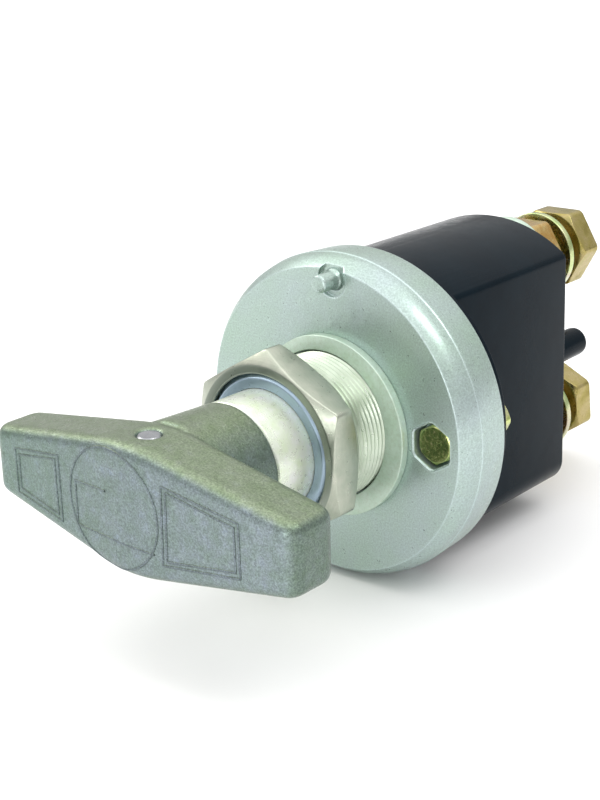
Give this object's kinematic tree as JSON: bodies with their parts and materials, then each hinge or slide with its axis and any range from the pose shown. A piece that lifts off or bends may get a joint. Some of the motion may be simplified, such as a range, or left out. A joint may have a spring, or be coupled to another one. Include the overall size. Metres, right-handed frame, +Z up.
{
  "type": "battery master switch",
  "caption": "Heavy-duty battery master switch for a panel hole: T-handle on a threaded collar, round flange, black double-D housing and threaded rear terminals.",
  "frame": {"origin": "on the switch axis, in the plane of the mounting flange's flat front face", "axes": "-Y out of the panel along the switch axis towards the handle, +Y back to the terminals, +X right when looking at the handle, +Z up through the locating pin"},
  "size_m": [0.1012, 0.1948, 0.09],
  "materials": {
    "handle_zinc": "as cast",
    "flange_zinc": "satin",
    "shaft_zinc": "bright plated",
    "bush_steel": "turned",
    "nickel_nut": "satin",
    "zinc_washer": "plated",
    "yellow_zinc": "yellow passivated",
    "hard_steel": "ground",
    "spring_steel": "drawn wire",
    "black_moulding": "satin",
    "carrier_nylon": "moulded",
    "gasket_rubber": "matte",
    "bridge_copper": "satin",
    "contact_silver": "satin",
    "stud_brass": "turned",
    "jam_nut_brass": "bright",
    "nut_brass": "dull",
    "spring_washer_steel": "passivated"
  },
  "bodies": {
    "switch_body": {"thrust_washer": "hard_steel", "detent_balls": "hard_steel", "detent_springs": "spring_steel", "stop_pin": "hard_steel", "threaded_bush": "bush_steel", "mounting_flange": "flange_zinc", "locating_pin": "zinc_washer", "clamp_nut": "nickel_nut", "panel_washer": "zinc_washer", "flange_bolts": "yellow_zinc", "flange_bolt_washers": "yellow_zinc", "flange_bolt_nuts": "yellow_zinc", "housing_gasket": "gasket_rubber", "switch_housing": "black_moulding", "guide_rods": "hard_steel", "return_spring": "spring_steel", "fixed_contact_tips": "contact_silver", "upper_terminal_stud": "stud_brass", "lower_terminal_stud": "stud_brass", "terminal_base_washers": "zinc_washer", "terminal_jam_nuts": "jam_nut_brass", "terminal_spring_washers": "spring_washer_steel", "terminal_nuts": "nut_brass"},
    "handle": {"t_handle": "handle_zinc", "handle_cross_pin": "spring_steel", "drive_shaft": "shaft_zinc", "shaft_seal_ring": "gasket_rubber", "shaft_retaining_ring": "spring_steel", "drive_cam": "hard_steel", "cam_retaining_washer": "hard_steel", "cam_retaining_screw": "yellow_zinc"},
    "contact_carriage": {"contact_carrier": "carrier_nylon", "contact_bridge": "bridge_copper", "bridge_screws": "stud_brass", "moving_contact_tips": "contact_silver"}
  },
  "joints": [
    {"name": "handle_turn", "type": "hinge", "parent": "switch_body", "child": "handle", "pos_m": [0, 0, 0], "axis": [0, 1, 0], "range_deg": [0, 90]},
    {"name": "contact_travel", "type": "slide", "parent": "switch_body", "child": "contact_carriage", "axis": [0, 1, 0], "range_m": [0, 0.0061], "deforming": ["return_spring"]}
  ],
  "couplings": [
    {"joint": "contact_travel", "follows": "handle_turn", "m_per_rad": 0.0038197}
  ]
}
